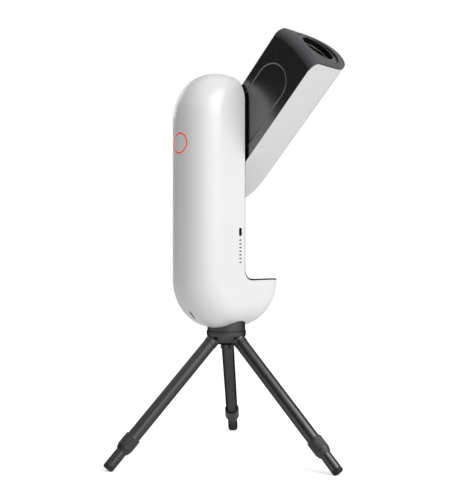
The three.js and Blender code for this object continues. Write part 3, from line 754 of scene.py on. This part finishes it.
def body_liner():
    rim = BODY.inset(LINER_SINK)
    top, under = notch(0, 0), liner_bed(LINER_STEP - GAP)
    liner = common(rim.mesh("body_liner_fine"), under.mesh())
    cut(liner, top.mesh())
    hole = moved(along_x(rod(LINER_HOLE, -40, 10)), Matrix.Translation((0, 0, PIVOT_HEIGHT)))
    cut(liner, hole)
    settle(liner, BODY_FRAME, [
        rim, Opposite(top), under, Opposite(Pipe(LINER_HOLE, (0, 0, PIVOT_HEIGHT), (1, 0, 0))),
    ])
    clad(liner, "dark_gloss", "head", "body_liner")
    liner.data.materials[0] = LINER_BLACK


def neck_collar():
    """Collar under the body: its lower rim hangs round a seat, and its top runs up into the body."""
    seat, rim, top = -3, CROWN_TOP + 0.6, 20
    profile = soften([
        (NECK_BORE, seat), (NECK_SEAT, seat), (NECK_SEAT, rim), (NECK_RADIUS, rim), (NECK_RADIUS, top),
        (NECK_BORE, top),
    ], 0.35, closed=True)
    neck = cut(turned_mesh("neck_collar_fine", profile, LENS_ROUND, closed=True), BODY.mesh())
    clad(smooth(neck, BODY_FRAME), "black_anodised", "head", "neck_collar")


def power_button():
    under = BODY.inset(BUTTON_THICKNESS)
    cap = common(button_rod(BUTTON_RADIUS, 20), BODY.mesh())
    cut(cap, under.mesh())
    cap.name = "power_button_fine"
    settle(cap, BODY_FRAME, [BODY, Opposite(under), button_pipe(BUTTON_RADIUS)])
    clad(cap, "white_shell", "power_button", "power_button")


def light_ring():
    outer, inner = BUTTON_RADIUS + LIGHT_WIDTH + GAP, BUTTON_RADIUS + GAP
    outside, inside = BODY.inset(LIGHT_SINK), BODY.inset(LIGHT_DEPTH)
    ring = common(cut(button_rod(outer), button_rod(inner)), outside.mesh())
    cut(ring, inside.mesh())
    ring.name = "light_ring_fine"
    settle(ring, BODY_FRAME, [
        outside, Opposite(inside), button_pipe(outer), Opposite(button_pipe(inner)),
    ])
    clad(ring, "orange_ring", "head", "light_ring")


def power_socket():
    """Slim inlet with a hollow mouth, on a wider body behind the shell."""
    socket = boolean(
        inlet_bar(INLET_LENGTH, INLET_WIDTH, -6, -0.4),
        "UNION",
        inlet_bar(INLET_LENGTH + 4, INLET_WIDTH + 5, -13, -SHELL_WALL - 2),
    )
    cut(socket, inlet_bar(INLET_LENGTH - 2 * INLET_EDGE, INLET_WIDTH - 2 * INLET_EDGE, -9, 2))
    socket.name = "power_socket_fine"
    clad(smooth(socket, BODY_FRAME), "black_plastic", "head", "power_socket")


def front_plate(name, size, z, corner):
    """Thin inlay in the body's flat front."""
    outline = []
    for cx, cz, start in ((1, -1, -90), (1, 1, 0), (-1, 1, 90), (-1, -1, 180)):
        for k in range(9):
            angle = math.radians(start + 90 * k / 8)
            outline.append((
                cx * (size[0] / 2 - corner) + corner * math.cos(angle),
                cz * (size[1] / 2 - corner) + corner * math.sin(angle),
            ))
    plate = outline_prism(name, outline, CAPSULE_DEPTH / 2 - INLAY_DEPTH, CAPSULE_DEPTH / 2 + INLAY_PROUD)
    turn = Matrix.Rotation(-math.pi / 2, 4, "Z")
    moved(plate, Matrix.Translation((INLAY_X, 0, z)) @ turn)
    return smooth(plate, BODY_FRAME)


def status_window():
    window = front_plate("status_window", WINDOW_SIZE, WINDOW_Z, WINDOW_CORNER)
    clad(window, "dark_gloss", "head")
    window.data.materials[0] = LINER_BLACK


def level_marks():
    """Plain dashes below the window, with no lettering."""
    for k in range(DASHES):
        mark = front_plate(f"level_mark_{k + 1}", DASH_SIZE, DASH_TOP - DASH_PITCH * k, DASH_CORNER)
        clad(mark, "satin_grey", "head")
        mark.data.materials[0] = MARK_GREY


# ---------- arm ----------

ARM = Slab(
    -CAPSULE_WIDTH / 2, CAPSULE_WIDTH / 2, ARM_BOTTOM, ARM_REACH + ARM_OVERSHOOT,
    CAPSULE_DEPTH, ARM_CORNER, FACE_EDGE,
)
ARM_HOLLOW = ARM.inset(SHELL_WALL)


def arm_slab(name="tool", margin=0):
    """The arm's slab, in the finer steps that its long edges need."""
    return ARM.inset(margin).mesh(name, 36, 22)


def arm_disc(margin):
    return Disc(ARM_FACE_X + margin, ARM_REACH - margin, ARM_END_ROUND - margin)


def arm_slice(low, high, bottom=-130):
    """Everything in the arm between two planes of constant X."""
    return block((low, -60, bottom), (high, 60, 260))


def outside_reach(start):
    """Everything in the end zone further from the axle than start."""
    return cut(arm_slice(-20, 120, 100), along_x(rod(start, -30, 130, LARGE_ROUND)))


def arm_shell():
    shell = common(arm_slab("arm_shell_fine"), arm_disc(0).mesh())
    cut(shell, arm_slab(margin=SHELL_WALL))
    inner_layer = arm_disc(CAP_THICKNESS + GAP)
    start = ARM_REACH - ARM_END_ROUND - GAP
    recess = cut(outside_reach(start), inner_layer.mesh())
    behind_cover = ARM_FACE_X + COVER_EDGE + 0.1
    cut(shell, recess, arm_slice(-20, behind_cover))
    settle(shell, ARM_FRAME, [
        ARM, Opposite(ARM_HOLLOW), arm_disc(0), inner_layer, Pipe(start, (0, 0, 0), (1, 0, 0)),
        Face((behind_cover, 0, 0), (-1, 0, 0)),
    ])
    clad(shell, "white_shell", "arm", "arm_shell")


def optic_pipe(radius):
    return Pipe(radius, (OPTIC_X, 0, 0), (0, 0, 1))


def optic_turned(name, profile, segments=LENS_ROUND, closed=False):
    made = turned_mesh(name, profile, segments, closed)
    return moved(made, Matrix.Translation((OPTIC_X, 0, 0)))


def optic_rod(radius, low, high):
    return moved(rod(radius, low, high, LENS_ROUND), Matrix.Translation((OPTIC_X, 0, 0)))


def finger_place(degrees, reach):
    """Place round the optical axis, at an angle and a distance from it."""
    angle = math.radians(degrees)
    return Matrix.Translation((OPTIC_X + reach * math.cos(angle), reach * math.sin(angle), 0))


def end_cap():
    """Satin cap round the mouth, with a curved finger groove beside the ring."""
    start = ARM_REACH - ARM_END_ROUND
    under = arm_disc(CAP_THICKNESS)
    cap = common(arm_slab("end_cap_fine"), arm_disc(0).mesh(), outside_reach(start))
    groove = cut(
        rod(FINGER_RADIUS, GROOVE_FLOOR, 240, SMALL_ROUND),
        rod(FINGER_RADIUS - GROOVE_WIDTH, 150, 250, SMALL_ROUND),
    )
    moved(groove, finger_place(FINGER_TURN, GROOVE_REACH))
    cut(cap, under.mesh(), optic_rod(CAP_OPENING, 150, 240), groove)
    settle(cap, ARM_FRAME, [
        ARM, arm_disc(0), Opposite(under), Opposite(Pipe(start, (0, 0, 0), (1, 0, 0))),
        Opposite(optic_pipe(CAP_OPENING)),
    ])
    clad(cap, "satin_grey", "arm", "end_cap")


def front_ring():
    """Satin outside, black from the mouth inwards, with two finger notches, and a paler step inside that is a
    painted highlight.
    """
    outside = RING_RADIUS - RING_PLAY
    profile = soften([
        (OPENING_RADIUS, RING_TOP), (outside, RING_SHOULDER), (outside, RING_SEAT), (RING_NECK, RING_SEAT),
        (RING_NECK, RING_UNDER), (RING_BORE, RING_UNDER), (RING_BORE, RING_UNDER + 1.4),
        (RING_BORE + 1, RING_UNDER + 2.4), (RING_BORE + 1.2, RING_UNDER + 3.4),
    ], 0.3, closed=True)
    ring = optic_turned("front_ring_fine", profile, RING_ROUND, closed=True)
    for degrees in (FINGER_TURN, FINGER_TURN + 180):
        notch_rod = rod(NOTCH_RADIUS, NOTCH_FLOOR, 212, SMALL_ROUND)
        cut(ring, moved(notch_rod, finger_place(degrees, RING_RADIUS + 1)))
    inner = []
    for face in ring.data.polygons:
        centre = Vector(face.center) - Vector((OPTIC_X, 0, RING_UNDER))
        # Faces on the step keep the satin grey, as a painted highlight along the lip of the black bore.
        painted_highlight = RING_PAINTED_HIGHLIGHT_STEP[0] < centre.z < RING_PAINTED_HIGHLIGHT_STEP[1]
        inner.append(centre.xy.length < OPENING_RADIUS - 0.1 and not painted_highlight)
    smooth(ring, ARM_FRAME)
    clad(ring, "satin_grey", "front_ring", "front_ring")
    ring.data.materials.append(INNER_BLACK)
    for face, is_inner in zip(ring.data.polygons, inner):
        face.material_index = 1 if is_inner else 0


def arm_inner_cover():
    """Flat cover whose thin border lies over the cut edge of the white shell."""
    reach = ARM_REACH - ARM_END_ROUND - GAP
    cover = common(
        arm_slab("arm_inner_cover_fine", SHELL_WALL + GAP),
        arm_slice(ARM_FACE_X + COVER_EDGE - COVER_OVERLAP, ARM_FACE_X + COVER_DEPTH),
        along_x(rod(reach, -20, 40, LARGE_ROUND)),
    )
    border = common(
        arm_slab(margin=COVER_SINK),
        arm_slice(ARM_FACE_X, ARM_FACE_X + COVER_EDGE),
        along_x(rod(reach, -20, 40, LARGE_ROUND)),
    )
    boolean(cover, "UNION", border)
    cut(cover, outline_prism("tool", stadium(STADIUM_RADIUS, 0, STADIUM_TOP), -20, 20))
    smooth(cover, ARM_FRAME, 25)
    clad(cover, "dark_gloss", "arm", "arm_inner_cover")


def axle_plate():
    """Dished plate round the axle: its sloped border catches the light as a thin line."""
    rings = [(0.35, COVER_DEPTH), (0.35, 0.12), (0.7, 0), (1.5, 0.2), (2.6, 0.72), (3.2, 0.8)]
    outlines = []
    for inward, depth in rings:
        outline = stadium(STADIUM_RADIUS - inward, 0, STADIUM_TOP, 40)
        outlines.append([(ARM_FACE_X + depth, y, z) for y, z in outline])
    count = len(outlines[0])
    vertices = [v for outline in outlines for v in outline]
    faces = [list(range(count)), [(len(rings) - 1) * count + i for i in range(count)][::-1]]
    for k in range(len(rings) - 1):
        for i in range(count):
            j = (i + 1) % count
            faces.append([k * count + j, k * count + i, (k + 1) * count + i, (k + 1) * count + j])
    plate = new_object("axle_plate_fine", vertices, faces)
    cut(plate, along_x(rod(AXLE_HOLE, -20, 20)))
    clad(smooth(plate, ARM_FRAME, 30), "dark_gloss", "arm", "axle_plate")


def front_lens():
    """Lens with a curved front, a flat back and a plain edge."""
    centre = LENS_FRONT - LENS_CURVE
    radii = [LENS_RADIUS * k / 12 for k in range(12, -1, -1)]
    front = [(radius, centre + math.sqrt(LENS_CURVE**2 - radius**2)) for radius in radii]
    profile = [(0, LENS_BACK), (LENS_RADIUS, LENS_BACK), *front]
    lens = optic_turned("front_lens_fine", profile, USUAL_ROUND)
    clad(smooth(lens, ARM_FRAME, 50), "lens_glass", "arm", "front_lens")


def lens_retainer():
    """Ring that holds the lens from the front, with a bevel towards the mouth."""
    profile = soften([
        (RETAINER_BORE, RETAINER_BACK), (RETAINER_RADIUS, RETAINER_BACK), (RETAINER_RADIUS, RETAINER_FRONT),
        (RETAINER_BORE + 0.8, RETAINER_FRONT), (RETAINER_BORE, RETAINER_FRONT - 0.8),
    ], 0.2, closed=True)
    ring = optic_turned("lens_retainer_fine", profile, closed=True)
    clad(smooth(ring, ARM_FRAME), "black_plastic", "arm", "lens_retainer")


# ---------- tripod ----------

def crown():
    """Cast crown: the dome runs into its three sockets in one blend, and is then cut flat where it mates."""
    to_body = BODY_FRAME.inverted()
    dome = turned_mesh("tripod_crown_fine", [
        (0, CROWN_TOP + 6), (CROWN_RADIUS, CROWN_TOP + 6), (CROWN_RADIUS, CROWN_TOP - 6.5),
        (CROWN_RADIUS - 2.5, CROWN_TOP - 11), (CROWN_RADIUS - 9, CROWN_TOP - 17.5),
        (CROWN_RADIUS - 18, CROWN_TOP - CROWN_DEPTH), (0, CROWN_TOP - CROWN_DEPTH),
    ])
    legs = [to_body @ leg_frame(number) for number in (1, 2, 3)]
    sockets = [moved(rod(SOCKET_RADIUS + 0.2, 12, 52, SMALL_ROUND), leg) for leg in legs]
    boolean(dome, "UNION", *sockets)
    remesh = dome.modifiers.new("cast", "REMESH")
    remesh.mode = "VOXEL"
    remesh.voxel_size = CAST_VOXEL
    bake(dome)
    blend = dome.modifiers.new("fillets", "SMOOTH")
    blend.factor = 0.5
    blend.iterations = 14
    bake(dome)
    cut(dome, block((-60, -60, CROWN_TOP), (60, 60, 60)), rod(SCREW_HOLE, -60, 10, SMALL_ROUND))
    for leg in legs:
        past_end = moved(rod(16, SOCKET_END, 70, SMALL_ROUND), leg)
        bore = moved(rod(SOCKET_BORE, SOCKET_FLOOR, 60, SMALL_ROUND), leg)
        cut(dome, past_end, bore)
    clad(smooth(dome, BODY_FRAME, 45), "black_anodised", "tripod", "tripod_crown")


def upper_tube(number, place):
    """Tube with a spigot that sits in the crown's socket."""
    spigot, shoulder = SOCKET_BORE - GAP, SOCKET_END + GAP
    profile = soften([
        (spigot, SPIGOT_START), (spigot, shoulder), (UPPER_TUBE_RADIUS, shoulder),
        (UPPER_TUBE_RADIUS, UPPER_TUBE_END), (UPPER_TUBE_BORE, UPPER_TUBE_END), (UPPER_TUBE_BORE, SPIGOT_END),
        (0.01, SPIGOT_END), (0.01, SPIGOT_START),
    ], 0.3, closed=True)
    tube = turned_mesh(f"upper_leg_tube_{number}_fine", profile, TUBE_ROUND, closed=True)
    clad(smooth(tube, place), "black_anodised", "tripod", f"upper_leg_tube_{number}")


def twist_collar(number, place):
    """Grip with fine ribs between two plain bands."""
    inner, outer, end = UPPER_TUBE_RADIUS + GAP, COLLAR_RADIUS, LOWER_TUBE_RADIUS + GAP
    low, high = COLLAR_TOP + COLLAR_BAND, COLLAR_TAPER - COLLAR_BAND
    profile = soften([
        (inner, COLLAR_TOP), (outer - 0.4, COLLAR_TOP), (outer, COLLAR_TOP + 1.2),
        (outer, low - 0.2), (outer, low + 0.2), (outer, high - 0.2), (outer, high + 0.2),
        (outer, COLLAR_TAPER), (end + 1.1, COLLAR_END), (end, COLLAR_END),
        (end, COLLAR_TAPER - 2), (inner, COLLAR_TAPER - 2),
    ], 0.3, closed=True, steps=2)
    collar = turned_mesh(f"twist_collar_{number}_fine", profile, RIBS * 6, closed=True)
    for vertex in collar.data.vertices:
        radius = vertex.co.xy.length
        if low <= vertex.co.z <= high and radius > outer - 0.2:
            angle = math.atan2(vertex.co.y, vertex.co.x)
            dip = RIB_DEPTH * (0.5 - 0.5 * math.cos(RIBS * angle))
            vertex.co.xy *= (radius - dip) / radius
    name = f"twist_collar_{number}"
    clad(smooth(collar, place, 50), "black_plastic", name, name)


def lower_tube(number, place):
    profile = soften([
        (LOWER_TUBE_BORE, LOWER_TUBE_TOP), (LOWER_TUBE_RADIUS, LOWER_TUBE_TOP),
        (LOWER_TUBE_RADIUS, FOOT_TOP - GAP), (LOWER_TUBE_BORE, FOOT_TOP - GAP),
    ], 0.3, closed=True)
    tube = turned_mesh(f"lower_leg_tube_{number}_fine", profile, TUBE_ROUND, closed=True)
    clad(smooth(tube, place), "black_anodised", f"lower_leg_{number}", f"lower_leg_tube_{number}")


def rubber_foot(number, place):
    """Round foot with a plug inside the tube, cut flat where it meets the ground."""
    plug, plug_top = LOWER_TUBE_BORE - GAP, FOOT_TOP - FOOT_PLUG
    profile = soften([
        (0, plug_top), (plug, plug_top), (plug, FOOT_TOP), (LOWER_TUBE_RADIUS, FOOT_TOP),
        (LOWER_TUBE_RADIUS, LEG_END - 2.4), (LOWER_TUBE_RADIUS - 1.3, LEG_END - 0.5),
        (LOWER_TUBE_RADIUS - 3.3, LEG_END), (0, LEG_END),
    ], 0.6)
    foot = turned_mesh(f"rubber_foot_{number}_fine", profile, TUBE_ROUND)
    ground = moved(block((-400, -400, -60), (400, 400, 0)), place.inverted() @ MM)
    cut(foot, ground)
    clad(smooth(foot, place, 45), "rubber", f"lower_leg_{number}", f"rubber_foot_{number}")


# ---------- studio ----------

FLOOR_SIZE = 12  # metres from the middle to an edge
FLOOR_TONE = 0.8
FLOOR_GLOW = 0.5  # seen by the camera only

# The world's light. A panel is the bearing (from +X) and height of its middle, the angles from there to
# where it begins to fade and ends, all in degrees, and its level. The flag dims what lies behind it.
ROOM_DARK = 0.16
OVERHEAD_PANEL = ((0, 90), 30, 70, 0.66)
SIDE_PANELS = (
    ((268, 20), 20, 54, 1.4),
    ((60, 5), 12, 30, 0.5),
    ((10, 25), 25, 60, 0.55),
)
DARK_FLAG = ((137, 0), 20, 50, 0.3)

# Each area light's name, place in metres, watts, width and height. All aim at a point above the origin.
AREA_LIGHTS = (
    ("key", (0.3, -2.0, 1.7), 23, 1.8, 1.6),
    ("back", (0.3, 2.2, 1.5), 8, 1.6, 1.2),
    ("top", (-0.2, 0.1, 2.9), 3, 1.6, 1.6),
)
AIM_HEIGHT = 0.35

# The camera looks level. Its distance and offsets, in metres, are from the head's axis at the azimuth joint.
VIEW_TURN = math.radians(47.5)
VIEW_DISTANCE = 1.30222
VIEW_ASIDE = -0.00207
VIEW_HEIGHT = 0.12032
SENSOR_WIDTH = 36
FOCAL_SHARE = 1.614016  # focal length over the image's longer side


def camera():
    ahead = Vector((math.sin(VIEW_TURN), math.cos(VIEW_TURN), 0))
    aside = Vector((math.cos(VIEW_TURN), -math.sin(VIEW_TURN), 0))
    data = bpy.data.cameras.new("camera")
    data.sensor_width = SENSOR_WIDTH
    data.lens = SENSOR_WIDTH * FOCAL_SHARE
    made = bpy.data.objects.new("camera", data)
    above = Vector((0, 0, VIEW_HEIGHT))
    made.location = AZIMUTH - ahead * VIEW_DISTANCE + aside * VIEW_ASIDE + above
    made.rotation_euler = (math.pi / 2, 0, -VIEW_TURN)
    scene.collection.objects.link(made)
    scene.camera = made


def floor():
    """Pale floor that is white to the camera, like the backdrop, and throws less light on the object."""
    corners = [(x * FLOOR_SIZE, y * FLOOR_SIZE, 0) for x, y in ((-1, -1), (1, -1), (1, 1), (-1, 1))]
    ground = new_object("floor", corners, [(0, 1, 2, 3)])
    finish = surface(
        "floor", (FLOOR_TONE, FLOOR_TONE, FLOOR_TONE), 0.8, gloss=0.1, tone=0.004, mottle=0.5, bump=0.01
    )
    tree = finish.node_tree
    shader = tree.nodes["Principled BSDF"]
    shader.inputs["Emission Color"].default_value = (1, 1, 1, 1)
    path = node(tree, "ShaderNodeLightPath")
    glow = math_node(tree, "MULTIPLY", path.outputs["Is Camera Ray"], FLOOR_GLOW)
    tree.links.new(glow, shader.inputs["Emission Strength"])
    ground.data.materials.append(finish)


def lobe(tree, toward, near, far, low, high):
    """Light level that runs from low to high as the direction turns towards a bearing and height."""
    bearing, height = (math.radians(v) for v in toward)
    across = math.cos(height)
    direction = (math.cos(bearing) * across, math.sin(bearing) * across, math.sin(height))
    coordinates = node(tree, "ShaderNodeTexCoord").outputs["Generated"]
    facing = node(tree, "ShaderNodeVectorMath", operation="DOT_PRODUCT")
    facing.inputs[1].default_value = direction
    tree.links.new(coordinates, facing.inputs[0])
    ramp = node(tree, "ShaderNodeMapRange", interpolation_type="SMOOTHSTEP")
    ramp.inputs["From Min"].default_value = math.cos(math.radians(far))
    ramp.inputs["From Max"].default_value = math.cos(math.radians(near))
    ramp.inputs["To Min"].default_value = low
    ramp.inputs["To Max"].default_value = high
    tree.links.new(facing.outputs["Value"], ramp.inputs["Value"])
    return ramp.outputs["Result"]


def sky():
    """Dark studio with soft panels overhead and around and a dark flag. The backdrop itself is white."""
    world = bpy.data.worlds.new("studio")
    scene.world = world
    world.use_nodes = True
    tree = world.node_tree
    background = tree.nodes["Background"]
    toward, near, far, level = OVERHEAD_PANEL
    light = lobe(tree, toward, near, far, ROOM_DARK, level)
    for toward, near, far, level in SIDE_PANELS:
        light = math_node(tree, "MAXIMUM", light, lobe(tree, toward, near, far, ROOM_DARK, level))
    toward, near, far, level = DARK_FLAG
    light = math_node(tree, "MULTIPLY", light, lobe(tree, toward, near, far, 1.0, level))
    path = node(tree, "ShaderNodeLightPath")
    seen = math_node(tree, "MAXIMUM", light, path.outputs["Is Camera Ray"])
    tree.links.new(seen, background.inputs["Strength"])
    background.inputs["Color"].default_value = (1, 1, 1, 1)


def soft_light(name, place, power, width, height):
    data = bpy.data.lights.new(name, "AREA")
    data.shape = "RECTANGLE"
    data.size, data.size_y, data.energy = width, height, power
    made = bpy.data.objects.new(name, data)
    made.location = place
    aim = Vector((0, 0, AIM_HEIGHT)) - Vector(place)
    made.rotation_euler = aim.to_track_quat("-Z", "Y").to_euler()
    scene.collection.objects.link(made)


camera()
finish_cad_nodes()
body_shell()
body_liner()
neck_collar()
power_button()
light_ring()
power_socket()
status_window()
level_marks()
arm_shell()
end_cap()
front_ring()
arm_inner_cover()
axle_plate()
front_lens()
lens_retainer()
crown()
for leg_number in (1, 2, 3):
    leg_place = leg_frame(leg_number)
    upper_tube(leg_number, leg_place)
    twist_collar(leg_number, leg_place)
    lower_tube(leg_number, leg_place)
    rubber_foot(leg_number, leg_place)
floor()
sky()
for area_light in AREA_LIGHTS:
    soft_light(*area_light)
scene.view_settings.view_transform = "Standard"
